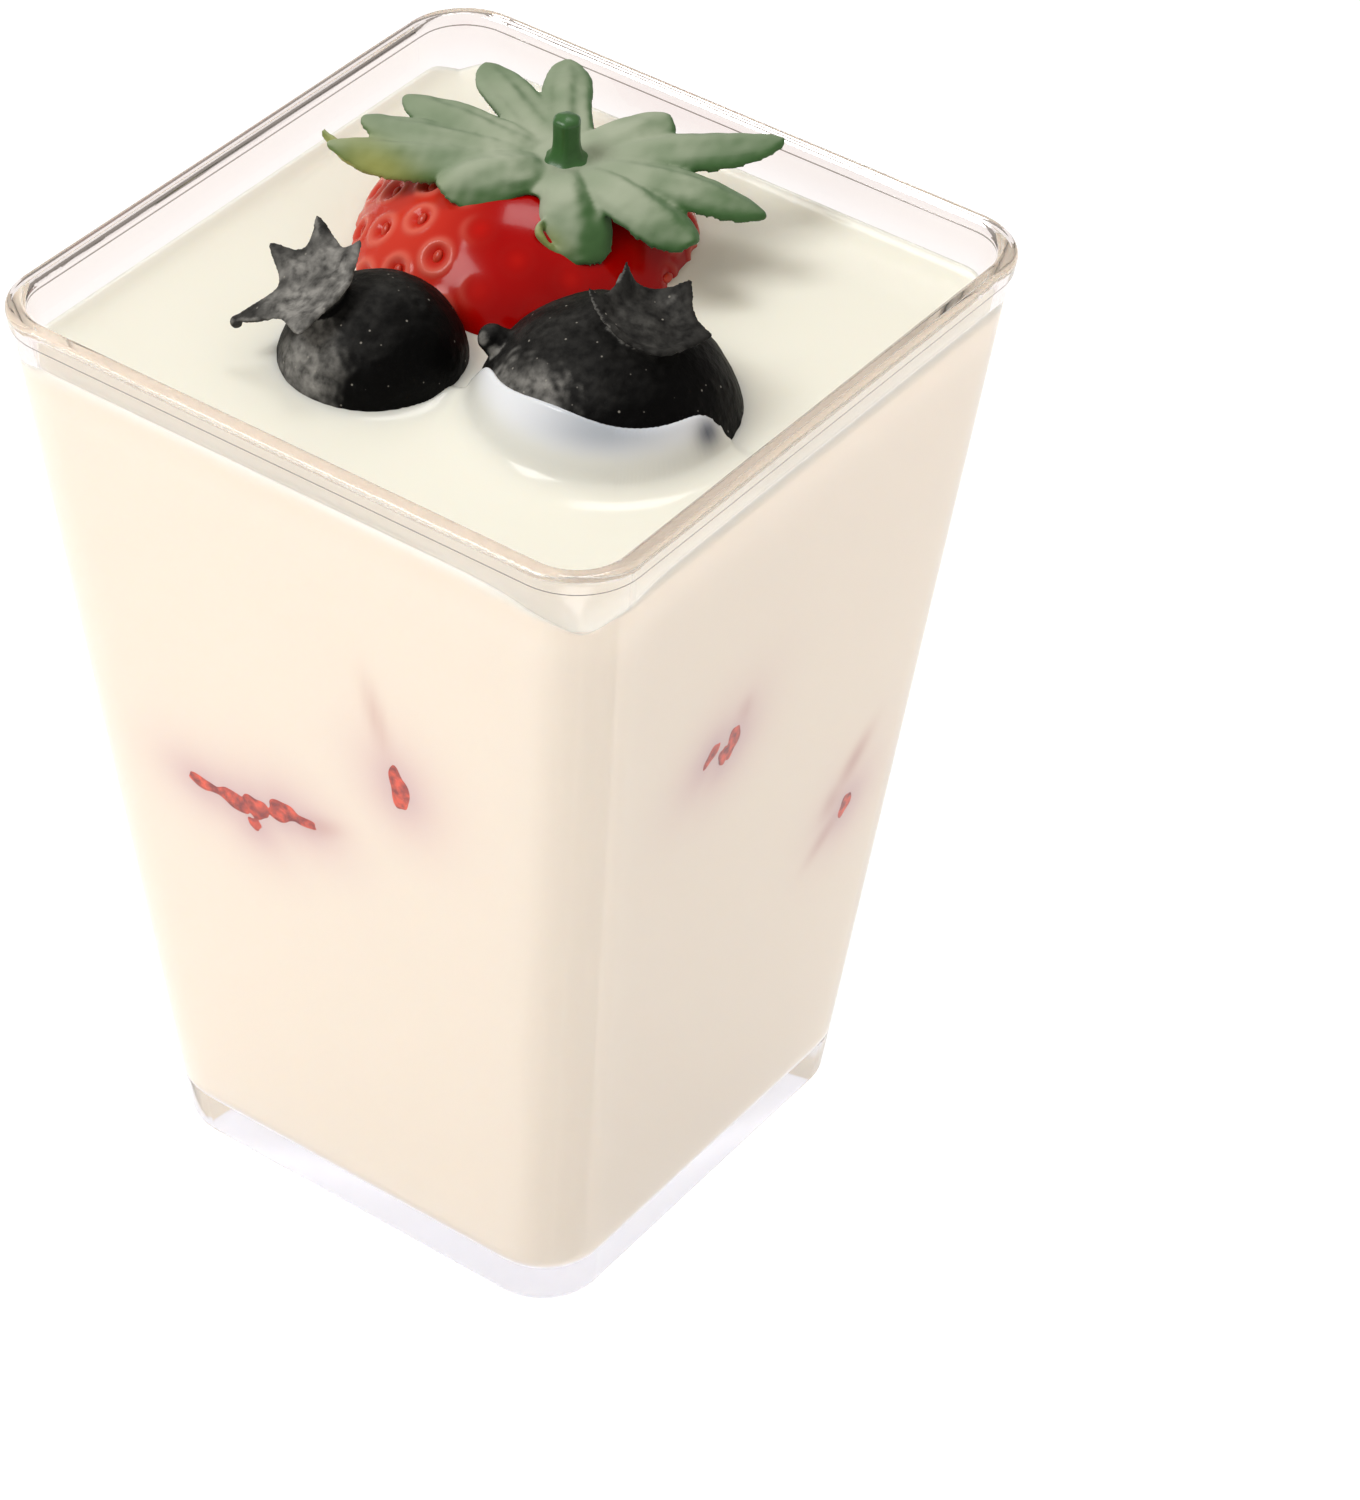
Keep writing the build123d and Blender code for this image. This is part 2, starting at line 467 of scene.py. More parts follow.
# %% The sunk fruit
# Each lump: the face of the cup, place along it, height, half length, half height, turn in degrees.
sunk_lumps = {
    "sunk_fruit_long": (
        ("front", -11.4, 41.0, 1.5, 0.5, -5),
        ("front", -8.6, 40.9, 1.5, 0.75, -12),
        ("front", -6.3, 41.3, 1.2, 0.9, 0),
        ("front", -3.6, 42.3, 1.5, 0.85, 25),
        ("front", -1.6, 42.4, 1.3, 0.4, 8),
        ("front", -6.6, 39.4, 0.6, 0.5, 0),
    ),
    "sunk_fruit_drop": (("front", 8.3, 51.2, 0.8, 1.75, 6),),
    "sunk_fruit_pair": (
        ("right", -8.3, 52.3, 1.1, 0.45, 40),
        ("right", -5.6, 51.9, 0.7, 1.25, -14),
        ("right", -6.7, 51.2, 0.55, 0.75, 0),
    ),
    "sunk_fruit_spot": (("right", 13.0, 32.7, 0.65, 0.95, -25),),
}
# Faint skins that stay under the surface: the same places, and how strongly they show.
faint_skins = (
    ("front", 6.7, 57.5, 0.5, 3.0, 10, 0.5),
    ("front", 0.4, 42.9, 1.6, 0.5, 25, 0.5),
    ("right", 13.3, 37.3, 0.7, 2.2, -40, 0.75),
    ("right", 10.8, 34.6, 0.8, 1.2, -30, 0.5),
    ("right", 10.4, 31.0, 1.9, 0.5, 40, 0.55),
    ("right", -4.4, 54.4, 0.4, 0.8, 0, 0.4),
)


# A lump's half depth, how much of it comes out of the cream's skin, and how much it is drawn out.
lump_depth = 1.1
lump_shown = 0.12
lump_longer = 1.12
lump_taller = 1.25
fine_voxel = 0.12
print(sum(len(rows) for rows in sunk_lumps.values()), "lumps in", len(sunk_lumps), "shreds of sunk fruit")


def on_face(face, along, height, out):
    """A place on a cup face: along it, up it, and out of the cream's skin, in millimetres."""
    reach = half_side(height, wall - into_wall) + out
    return (along, -reach, height) if face == "front" else (reach, along, height)


def lump(face, along, height, half_length, half_height, turn):
    """A flattened lump of fruit whose outer side just comes out of the cream's skin."""
    half_length, half_height = half_length * lump_longer, half_height * lump_taller
    rows, around = 16, 28
    cosine, sine = math.cos(math.radians(turn)), math.sin(math.radians(turn))
    widen = 1 / math.sqrt(1 - (1 - lump_shown / lump_depth) ** 2)
    points = []
    for row in range(rows + 1):
        polar = math.pi * row / rows
        for k in range(around):
            angle = 2 * math.pi * k / around
            ragged = 1 + 0.12 * math.sin(3 * angle + along) + 0.08 * math.sin(5 * angle + height)
            a = half_length * widen * math.sin(polar) * math.cos(angle) * ragged
            b = half_height * widen * math.sin(polar) * math.sin(angle) * ragged
            out = lump_depth * math.cos(polar) - lump_depth + lump_shown
            across, up = a * cosine - b * sine, a * sine + b * cosine
            points.append(on_face(face, along + across, height + up, out))
    faces = grid_faces(rows + 1, around)
    if face == "right":
        faces = [face_points[::-1] for face_points in faces]
    return points, faces


def nearness(points, rows, grow):
    """How near each point is to the nearest of the places, from 1 on it to 0 away from it."""
    best = np.zeros(len(points))
    for face, along, height, half_length, half_height, turn, *strength in rows:
        across = points[:, 0] if face == "front" else points[:, 1]
        facing = -points[:, 1] if face == "front" else points[:, 0]
        cosine, sine = math.cos(math.radians(turn)), math.sin(math.radians(turn))
        da, dz = across - along, points[:, 2] - height
        a = (da * cosine + dz * sine) / (half_length + grow)
        b = (-da * sine + dz * cosine) / (half_height + grow)
        near = np.exp(-(a * a + b * b)) * (facing > half_side(points[:, 2], wall) - 1.0)
        best = np.maximum(best, near * (strength[0] if strength else 1.0))
    return best


# %% Give the cream what its material reads
thin_spot_place = np.array([9.5, -0.8, 4.3])
thin_spot_radius = 1.15
berry_tint_reach = 0.9
strawberry_tint_from = strawberry_at_cream - 0.1
strawberry_tint_reach = 1.6


def mark_cream(mesh):
    """Writes the film, its dark spot and the tints round the fruit on the cream's points."""
    points = points_of(mesh)
    _, film, turn = cream_surface(points[:, :2])
    on_top = np.arange(len(points)) >= mesh["top_start"]
    grey = 0.15 + 0.85 * np.exp(-(((np.degrees(turn) + 55) / 34) ** 2))
    set_values(mesh, "film_white", film * on_top)
    set_values(mesh, "film", film * grey * on_top)
    away = np.linalg.norm(points - right_middle - thin_spot_place, axis=1)
    set_values(mesh, "thin_spot", np.exp(-((away / thin_spot_radius) ** 2)) * on_top)
    every_lump = [row for rows in sunk_lumps.values() for row in rows]
    halo = 0.55 * nearness(points, every_lump, 1.6) + 0.45 * nearness(points, every_lump, 4.0)
    set_values(mesh, "fruit_near", halo * ~on_top)
    set_values(mesh, "faint_skin", nearness(points, faint_skins, 0.4) * ~on_top)
    beyond_left = away_from(left_middle, points) - left_at_cream
    beyond_right = away_from(right_middle, points) - right_at_cream
    beyond = np.clip(np.minimum(beyond_left, beyond_right), 0, None)
    set_values(mesh, "berry_near", np.exp(-beyond / berry_tint_reach) * on_top)
    beyond = np.clip(away_from(strawberry_middle, points) - strawberry_tint_from, 0, None)
    set_values(mesh, "strawberry_near", np.exp(-beyond / strawberry_tint_reach) * on_top)
    set_values(mesh, "under_wall", 1.0 * ~on_top)
    # Painted light: near the floor the cream is made near white, so that the base seen through the plastic
    # stays bright where it lies in shade.
    set_values(mesh, "underside_painted_light", soft_step(cup_floor + 0.9, cup_floor + 0.1, points[:, 2]))
    return int((film > 0.5).sum())


print("film lies on", mark_cream(cream_mesh), "of the cream's points")


# %% [markdown]
# A cultured dairy cream is white with a little yellow, dense enough that light only goes a
# millimetre or two into it, and wet on top. Seen through the clear wall it looks warmer, nearer to
# beige. The material starts from those two colours and lays the tints over them: blue-grey for the
# film over the dark berry, mauve round the sunk fruit and pink at the strawberry.

# %% Smooth dairy cream
def dairy_cream():
    """Gives the warm white body, the beige look through the wall, the tints at the fruit, and a painted
    light that keeps the underside near white.
    """
    material, tree, output = new_material("smooth_dairy_cream")
    behind_wall = add(tree, "ShaderNodeAttribute", attribute_name="under_wall").outputs["Fac"]
    body = add(tree, "ShaderNodeMix", {
        0: behind_wall,
        6: linear("#efeee1"),
        7: linear("#fbeedc"),
    }, data_type="RGBA").outputs[2]
    colour = tinted(tree, body, (
        ("strawberry_near", 0.3, "#e0b8a6"),
        ("berry_near", 0.4, "#a9afb6"),
        ("film_white", 0.9, "#f0f3f8"),
        ("film", 0.85, "#9ca4ae"),
        ("thin_spot", 0.85, "#28324a"),
        ("fruit_near", 0.85, "#dcbcbb"),
        ("faint_skin", 0.8, "#c9988c"),
        # Painted light: a near-white underside, so that the base stays bright in its shade.
        ("underside_painted_light", 1.0, "#f0eef0"),
    ))
    place = add(tree, "ShaderNodeTexCoord").outputs["Object"]
    swirl = add(tree, "ShaderNodeTexNoise", {"Vector": place, "Scale": 1 / (9 * mm), "Detail": 2.0})
    raised = add(tree, "ShaderNodeBump", {"Height": swirl.outputs["Fac"], "Strength": 0.12, "Distance": mm})
    surface = add(tree, "ShaderNodeBsdfPrincipled", {
        "Base Color": colour,
        "Roughness": 0.14,
        "IOR": 1.36,
        "Subsurface Weight": 0.25,
        "Subsurface Scale": 2 * mm,
        "Subsurface Radius": (1.0, 0.8, 0.6),
        "Normal": raised.outputs[0],
    })
    tree.links.new(surface.outputs[0], output.inputs["Surface"])
    return material


cream_piece = new_object("cream_filling", cream_mesh)
cream_mesh.materials.append(dairy_cream())
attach(cream_piece, "root")
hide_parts("cream")
print("cream carries", ", ".join(cream_mesh.attributes.keys()))


# %% [markdown]
# The sunk fruit is stewed strawberry: translucent, wet and orange-red. Its lumps are fused with
# fine voxels, so that a long piece reads as one torn shred and not as a row of ovals.

# %% Stewed fruit
def stewed_fruit():
    """Gives the wet orange-red that shows where a shred touches the wall."""
    material, tree, output = new_material("stewed_strawberry")
    place = add(tree, "ShaderNodeTexCoord").outputs["Object"]
    fibre = add(tree, "ShaderNodeTexNoise", {"Vector": place, "Scale": 1 / (0.8 * mm), "Detail": 3.0})
    strand = add(tree, "ShaderNodeMapRange", {
        "Value": fibre.outputs["Fac"],
        "From Min": 0.35,
        "From Max": 0.65,
    }).outputs[0]
    colour = add(tree, "ShaderNodeMix", {
        0: strand,
        6: linear("#8a0c00"),
        7: linear("#f2542a"),
    }, data_type="RGBA")
    surface = add(tree, "ShaderNodeBsdfPrincipled", {
        "Base Color": colour.outputs[2],
        "Roughness": 0.3,
        "Subsurface Weight": 0.1,
        "Subsurface Scale": mm,
    })
    tree.links.new(surface.outputs[0], output.inputs["Surface"])
    return material


stewed_material = stewed_fruit()
for fruit_name, fruit_rows in sunk_lumps.items():
    fruit_mesh = fused(fruit_name, [lump(*row) for row in fruit_rows], fine_voxel, 2)
    fruit_mesh.materials.append(stewed_material)
    fruit_piece = new_object(fruit_name, fruit_mesh)
    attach(fruit_piece, "root")
    print(fruit_name, "has", len(fruit_mesh.polygons), "faces")


# %% [markdown]
# A strawberry's skin is smooth and wet-glossy, with its seeds sitting in small dimples that run
# round it in two families of spirals. The dimples could be a bump in the material, but a bump has
# no true rims and gives the seeds no seats, so here they are real. The golden angle puts them where
# they grow, and a rule in their distance presses each one in and raises its rim. They stand out
# most on one side of this fruit, and are shallow over its front.

# %% The strawberry's form
golden_angle = math.pi * (3 - math.sqrt(5))
strawberry_taper = 17.0
skin_flatness = 120.0
dimple_count = 150
dimple_reach = 0.62
dimple_press = 0.45
rim_reach = 1.12
rim_width = 0.3
rim_raise = 0.13
# The side towards the key lamp, over which the skin takes a painted light of paler orange-red.
lit_side_painted_light = unit((-0.82, -0.57, 0.15))
front_side = unit((0.35, -0.93, 0.0))
plain_swell = 0.25
front_swell = 1.3
strawberry_heart = np.array([*strawberry_middle[:2], strawberry_widest])


def strawberry_point(angle, share):
    """A place on the fruit: share runs from 0 at the top over 1 at the widest to 2 at the tip."""
    polar = share * math.pi / 2
    radius = strawberry_radius * np.sin(polar)
    radius = np.where(share > 1, radius ** 0.9 * strawberry_radius ** 0.1, radius)
    height = np.where(share < 1, strawberry_shoulder, strawberry_taper) * np.cos(polar)
    return np.stack([radius * np.cos(angle), radius * np.sin(angle), height], axis=-1)


def dimple_places():
    """The middles of the dimples, in spirals, evenly spread over the skin."""
    index = np.arange(dimple_count)
    share = 2 * np.arccos(1 - 2 * (index + 0.5) / dimple_count) / math.pi
    return strawberry_point(index * golden_angle + 0.35, share)


def facing_at(places):
    """The direction in which the skin faces at places on it."""
    outward = places / np.array([strawberry_radius ** 2, strawberry_radius ** 2, skin_flatness])
    return outward / np.linalg.norm(outward, axis=1)[:, None]


def plumpness(outward):
    """How much fuller the fruit is than its plain form, most where it leans on the berries."""
    return plain_swell + front_swell * soft_step(0.1, 1.0, outward @ front_side)


def dimple_depth(directions):
    """How deep the dimples are: shallow over the smooth front, deep on the sides and behind."""
    sideways = directions @ unit((0.82, 0.57, 0.0))
    forward = directions @ unit((0.57, -0.82, 0.3))
    front = soft_step(-0.42, -0.22, sideways) * soft_step(0.95, 0.7, sideways)
    return 1 - 0.98 * front * soft_step(-0.2, 0.2, forward)


def build_strawberry():
    """The fruit's closed mesh, dimpled, with its rims, pits and painted-light side for the material."""
    around, rows = 360, 210
    share = np.linspace(0.0, 2.0, rows + 1)[1:-1]
    angles = np.arange(around) * 2 * math.pi / around
    skin = strawberry_point(np.tile(angles, len(share)), np.repeat(share, around))
    skin = np.vstack([skin, [[0, 0, strawberry_shoulder], [0, 0, -strawberry_taper]]])
    outward = facing_at(skin)
    nearest = np.full(len(skin), 99.0)
    for place in dimple_places():
        nearest = np.minimum(nearest, np.linalg.norm(skin - place, axis=1))
    depth = dimple_depth(outward)
    pit = np.exp(-((nearest / dimple_reach) ** 2))
    rim = np.exp(-(((nearest - rim_reach) / rim_width) ** 2))
    swell = 0.12 * uneven(skin, 6.0, 1)
    skin = skin + outward * (depth * (rim_raise * rim - dimple_press * pit) + swell)[:, None]
    skin += outward * plumpness(outward)[:, None]
    faces = [face[::-1] for face in grid_faces(len(share), around)]
    top_point, tip_point = len(skin) - 2, len(skin) - 1
    last = (len(share) - 1) * around
    for k in range(around):
        after = (k + 1) % around
        faces.append((k, after, top_point))
        faces.append((last + after, last + k, tip_point))
    mesh = new_mesh("strawberry_fruit", skin + strawberry_heart, faces)
    # The rim share also lays a painted highlight of pale coral on the dimple rims.
    set_values(mesh, "rim", rim * depth)
    set_values(mesh, "pit", pit)
    set_values(mesh, "lit_side_painted_light", soft_step(0.2, 0.8, outward @ lit_side_painted_light))
    return mesh


strawberry_mesh = build_strawberry()
print("strawberry has", len(strawberry_mesh.polygons), "faces and", dimple_count, "dimples")


# %% Ripe strawberry skin
def ripe_strawberry():
    """Gives the deep glossy red, with a painted light of paler orange-red on the side towards the key lamp
    and a painted highlight of paler coral on the raised rims of the dimples.
    """
    material, tree, output = new_material("ripe_strawberry_skin")
    place = add(tree, "ShaderNodeTexCoord").outputs["Object"]
    mottle = add(tree, "ShaderNodeTexNoise", {"Vector": place, "Scale": 1 / (5 * mm), "Detail": 3.0})
    flesh = add(tree, "ShaderNodeMix", {
        0: mottle.outputs["Fac"],
        6: linear("#960000"),
        7: linear("#b00201"),
    }, data_type="RGBA").outputs[2]
    # Painted light of paler orange-red on the side towards the key lamp, and a painted highlight of pale
    # coral on the dimple rims; the pits keep a deep red.
    colour = tinted(tree, flesh, (
        ("lit_side_painted_light", 0.65, "#da4430"),
        ("rim", 0.3, "#f09a84"),
        ("pit", 0.85, "#b80e06"),
    ))
    surface = add(tree, "ShaderNodeBsdfPrincipled", {
        "Base Color": colour,
        "Roughness": 0.16,
        "IOR": 1.42,
        "Specular IOR Level": 0.2,
        "Coat Weight": 0.08,
        "Coat Roughness": 0.04,
    })
    tree.links.new(surface.outputs[0], output.inputs["Surface"])
    return material


strawberry_piece = new_object("strawberry_fruit", strawberry_mesh)
strawberry_mesh.materials.append(ripe_strawberry())
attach(strawberry_piece, "root")
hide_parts("strawberry")
print("strawberry is", (strawberry_piece.dimensions / mm)[:], "mm in size")


# %% [markdown]
# Each dimple holds one seed, a flat drop about a millimetre long. They repeat along a rule, so
# Geometry Nodes place them: the tree takes one point for each dimple with the direction it faces,
# puts a small seed there, turns it to lie in the skin, makes the copies real and gives them their
# material.

# %% The seeds, placed by Geometry Nodes
seed_sunk = 0.32
seed_sizes = {"Seed length": 1.1 * mm, "Seed width": 0.72 * mm, "Seed thickness": 0.5 * mm}


def seed_points():
    """A mesh of single points in the deeper dimples, each with the direction it faces."""
    places = dimple_places()
    outward = facing_at(places)
    dimpled = dimple_depth(outward) > 0.2
    places, outward = places[dimpled], outward[dimpled]
    lift = plumpness(outward) - seed_sunk * dimple_depth(outward)
    mesh = new_mesh("seed_points", places + outward * lift[:, None] + strawberry_heart, [])
    facing = mesh.attributes.new("facing", "FLOAT_VECTOR", "POINT")
    facing.data.foreach_set("vector", outward.astype(np.float32).ravel())
    return mesh


def seed_tree(material):
    """A node tree that puts a seed on each point, with the seed's three sizes as its inputs."""
    tree = bpy.data.node_groups.new("seeds_in_dimples", "GeometryNodeTree")
    tree.interface.new_socket("Geometry", in_out="INPUT", socket_type="NodeSocketGeometry")
    for name in seed_sizes:
        tree.interface.new_socket(name, in_out="INPUT", socket_type="NodeSocketFloat")
    tree.interface.new_socket("Geometry", in_out="OUTPUT", socket_type="NodeSocketGeometry")
    given = add(tree, "NodeGroupInput")
    result = add(tree, "NodeGroupOutput")
    ball = add(tree, "GeometryNodeMeshUVSphere", {"Segments": 12, "Rings": 8, "Radius": 0.5})
    size = add(tree, "ShaderNodeCombineXYZ", {
        "X": given.outputs["Seed width"],
        "Y": given.outputs["Seed length"],
        "Z": given.outputs["Seed thickness"],
    })
    facing = add(tree, "GeometryNodeInputNamedAttribute", {"Name": "facing"}, data_type="FLOAT_VECTOR")
    lie = add(tree, "FunctionNodeAlignRotationToVector", {"Vector": facing.outputs[0]}, axis="Z")
    copies = add(tree, "GeometryNodeInstanceOnPoints", {
        "Points": given.outputs["Geometry"],
        "Instance": ball.outputs["Mesh"],
        "Rotation": lie.outputs[0],
        "Scale": size.outputs[0],
    })
    real = add(tree, "GeometryNodeRealizeInstances", {"Geometry": copies.outputs[0]})
    smooth = add(tree, "GeometryNodeSetShadeSmooth", {"Geometry": real.outputs[0]})
    dressed = add(tree, "GeometryNodeSetMaterial", {"Geometry": smooth.outputs[0], "Material": material})
    tree.links.new(dressed.outputs[0], result.inputs[0])
    return tree


def strawberry_seed():
    """Gives the small seeds their reddish straw colour with a wet shine."""
    material, tree, output = new_material("strawberry_seed")
    place = add(tree, "ShaderNodeTexCoord").outputs["Object"]
    mottle = add(tree, "ShaderNodeTexNoise", {"Vector": place, "Scale": 1 / (2 * mm)})
    straw = add(tree, "ShaderNodeMix", {
        0: mottle.outputs["Fac"],
        6: linear("#b01c10"),
        7: linear("#cc4a2c"),
    }, data_type="RGBA").outputs[2]
    surface = add(tree, "ShaderNodeBsdfPrincipled", {"Base Color": straw, "Roughness": 0.3})
    tree.links.new(surface.outputs[0], output.inputs["Surface"])
    return material


def made_real(name, thing):
    """The evaluated result of an object's modifiers, as a plain mesh in an object of its own."""
    mesh = bpy.data.meshes.new_from_object(thing.evaluated_get(bpy.context.evaluated_depsgraph_get()))
    bpy.data.objects.remove(thing)
    mesh.name = name
    return new_object(name, mesh)


seed_holder = new_object("seed_points", seed_points())
seed_modifier = seed_holder.modifiers.new("seeds", "NODES")
seed_modifier.node_group = seed_tree(strawberry_seed())
for socket in seed_modifier.node_group.interface.items_tree:
    if socket.name in seed_sizes:
        seed_modifier[socket.identifier] = seed_sizes[socket.name]
seeds_piece = made_real("strawberry_seeds", seed_holder)
print("seeds have", len(seeds_piece.data.polygons), "faces")
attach(seeds_piece, "root")


# %% [markdown]
# The leaf cap is a flat star of thick, soft, dusty leaves with a short stem. It could be sculpted
# by hand, but then no leaf could be changed alone. Here each leaf is a blade whose width, rounding
# and fold follow a few numbers, and the blades and a low hub are fused into one skin.

# %% A leaf blade
# Each leaf: direction, length, root width, width, drop, bow, pointedness, cup, fold.
cap_leaves = (
    (150, 15.4, 5.0, 4.3, 0.2, 0.4, 0.0, -0.5, 0.0),
    (128, 14.8, 5.0, 4.1, 0.2, 0.4, 0.0, -0.5, 0.0),
    (185, 14.6, 5.0, 4.4, -0.6, 0.5, 0.15, -0.8, 0.0),
    (200, 16.0, 5.4, 4.4, -0.9, 0.4, 0.2, -0.9, 0.0),
    (212, 17.9, 5.4, 4.6, -0.6, 0.3, 0.6, -0.9, -0.7),
    (235, 9.9, 5.6, 5.6, 0.4, 1.1, 0.1, -1.0, -0.7),
    (313, 9.1, 3.4, 5.7, 2.9, 1.4, 0.0, -1.3, 0.0),
    (355, 12.7, 4.8, 5.2, 1.3, 1.2, 0.0, -1.1, 0.0),
    (17, 15.6, 5.0, 4.4, 1.1, 1.3, 0.5, -1.1, 0.0),
    (45, 16.4, 5.0, 5.2, -1.0, 0.9, 0.6, -1.0, -0.5),
    (72, 9.4, 5.0, 5.4, -0.9, 0.7, 0.1, -0.8, 0.0),
)
leaf_thickness = 0.85
leaf_start = 0.8
print(len(cap_leaves), "leaves, the longest", max(row[1] for row in cap_leaves), "mm from the stem's middle")


def blade(direction, length, root_width, width, drop, bow, pointedness, cup_depth, fold):
    """A closed leaf: a spine that bows and drops, a rounded or pointed tip, and folded edges."""
    stations, across = 44, 18
    points = []
    turn = math.radians(direction)
    cosine, sine = math.cos(turn), math.sin(turn)
    for station in range(stations + 1):
        s = 1 - (1 - station / stations) ** 1.25
        widen = float(soft_step(0.0, 0.6, s))
        base = (root_width + (width - root_width) * widen) / 2
        past = max(0.0, (s - 0.6) / 0.4)
        blunt = math.sqrt(max(0.0, 1 - past ** 2.6))
        sharp = 1 - past ** 2.1
        half = max(base * (blunt + (sharp - blunt) * pointedness), 0.04)
        spine = 4 * (bow + 0.15 * drop) * s * (1 - s) - drop * s
        for side in (1, -1):
            for k in range(across):
                v = side * (-1 + 2 * (k + 0.5) / across)
                groove = -0.34 * math.exp(-((v / 0.3) ** 2)) * (1 - 0.8 * s) * (side > 0)
                ridges = 0.14 * math.cos(v * 8) * s * (1 - s) * 4 * (side > 0)
                middle_part = float(soft_step(0.3, 0.6, s) * soft_step(1.0, 0.8, s))
                turned_down = fold * float(soft_step(0.25, 1.0, v)) * middle_part
                thick = leaf_thickness * (1 - 0.45 * v * v) * (1 - 0.35 * s)
                lift = spine + cup_depth * v * v * half / 2 + turned_down + groove + ridges
                along = leaf_start + (length - leaf_start) * s
                offset = v * half
                wander = 0.35 * math.sin(3.1 * s + direction) * s
                x, y = along, offset + wander
                z = lift + side * thick / 2
                points.append((x * cosine - y * sine, x * sine + y * cosine, z))
    return capped(points, 2 * across)


def dome(radius, low, high, around=48, rows=10):
    """A low closed dome on a flat underside."""
    angles = [math.pi / 2 * row / (rows + 1) for row in range(rows + 1)]
    profile = [(radius * math.cos(a), low + (high - low) * math.sin(a)) for a in angles]
    return capped(turned(profile, around), around)


# %% The leaf cap
cap_middle = strawberry_middle + np.array([2.9, 0.7, 0.0])
cap_heart = np.array([*cap_middle[:2], strawberry_top + leaf_thickness / 2])
soft_voxel = 0.17


def strip(start, end, sag, wide, tall):
    """A thin closed strip between two places, bowed by sag, such as a curled edge of a leaf."""
    stations, around = 30, 12
    points = []
    for station in range(stations + 1):
        s = station / stations
        middle = np.array(start) * (1 - s) + np.array(end) * s + np.array(sag) * math.sin(math.pi * s)
        full = 0.55 + 0.45 * math.sin(math.pi * s)
        for k in range(around):
            turn = 2 * math.pi * k / around
            across = np.array([0.6 * math.cos(turn), 0.8 * math.cos(turn), 0]) * wide * full
            points.append(middle + across + np.array([0, 0, math.sin(turn) * tall * full]))
    return capped(points, around)


def dust_and_sheen_share(mesh, towards, start, seed, even=0.75):
    """How much pale dust and painted sheen each point takes: more on what faces one way, past a start, and
    patchy.
    """
    facing = normals_of(mesh) @ unit(towards)
    patches = uneven(points_of(mesh), 2.5, seed)
    return np.clip(soft_step(start, 0.95, facing) * (even + 2.8 * (1 - even) * patches), 0, 1)


def build_leaf_cap():
    """The leaves and their hub as one skin, with its dust and painted sheen, a thin curl and a pale folded
    edge.
    """
    shells = [blade(*row) for row in cap_leaves]
    shells.append(dome(4.6, -leaf_thickness / 2, 0.62))
    shells.append(strip((2.4, -5.7, -1.0), (4.9, -7.0, -2.7), (-0.7, -0.75, 0.45), 0.34, 0.36))
    shells.append(strip((-16.6, -8.2, 0.1), (-9.6, -7.6, -0.5), (0.4, -0.7, -0.6), 0.35, 0.85))
    mesh = fused("leaf_cap_leaves", shells, soft_voxel, 3)
    points = points_of(mesh)
    push = 0.12 * uneven(points, 2.4, 11) + 0.05 * uneven(points, 0.9, 12)
    moved = points + normals_of(mesh) * push[:, None]
    mesh.vertices.foreach_set("co", (moved * mm).astype(np.float32).ravel())
    mesh.transform(Matrix.Translation(Vector(cap_heart * mm)))
    points = points_of(mesh) - cap_heart
    fewer = 1 - 0.4 * soft_step(4, 14, np.hypot(points[:, 0], points[:, 1]))
    # The pale dust is laid most on what faces up and towards the key lamp, so it is painted sheen as well as
    # dust, and the edges and undersides keep a darker, painted-shade green.
    set_values(mesh, "dust", dust_and_sheen_share(mesh, (-0.35, -0.3, 0.85), 0.4, 2, 0.88) * fewer)
    along = (points - np.array([-13.0, -8.4, -0.6])) / np.array([4.5, 1.6, 1.4])
    curl = (points - np.array([2.9, -7.1, -1.5])) / np.array([2.4, 0.8, 1.1])
    folded = np.exp(-(along ** 2).sum(axis=1)) + 0.5 * np.exp(-(curl ** 2).sum(axis=1))
    set_values(mesh, "yellowed", np.clip(folded, 0, 1))
    return mesh


def soft_leaf():
    """Gives the sage green of a thick leaf under a pale dust and painted sheen, greener at its edges and
    below as painted shade.
    """
    material, tree, output = new_material("soft_leaf_dust_and_painted_sheen")
    place = add(tree, "ShaderNodeTexCoord").outputs["Object"]
    mottle = add(tree, "ShaderNodeTexNoise", {"Vector": place, "Scale": 1 / (3 * mm), "Detail": 4.0})
    green = add(tree, "ShaderNodeMix", {
        0: mottle.outputs["Fac"],
        6: linear("#36592f"),
        7: linear("#4f7346"),
    }, data_type="RGBA").outputs[2]
    # The dust tint is pale dust with painted sheen on what faces the lamps; the yellowed tint is the folded
    # edge's own colour.
    colour = tinted(tree, green, (("dust", 1.0, "#a1ab95"), ("yellowed", 1.0, "#a9a95c")))
    grain = add(tree, "ShaderNodeTexNoise", {"Vector": place, "Scale": 1 / (0.4 * mm), "Detail": 2.0})
    raised = add(tree, "ShaderNodeBump", {
        "Height": grain.outputs["Fac"],
        "Strength": 0.2,
        "Distance": 0.1 * mm,
    })
    surface = add(tree, "ShaderNodeBsdfPrincipled", {
        "Base Color": colour,
        "Roughness": 0.7,
        "Specular IOR Level": 0.12,
        "Sheen Weight": 0.1,
        "Normal": raised.outputs[0],
    })
    tree.links.new(surface.outputs[0], output.inputs["Surface"])
    return material


leaf_mesh = build_leaf_cap()
leaf_mesh.materials.append(soft_leaf())
leaf_piece = new_object("leaf_cap_leaves", leaf_mesh)
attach(leaf_piece, "root")
print("leaves have", len(leaf_mesh.polygons), "faces")


# %% The stem
stem_radius = 1.08
stem_foot = 0.3
stem_length = 3.9


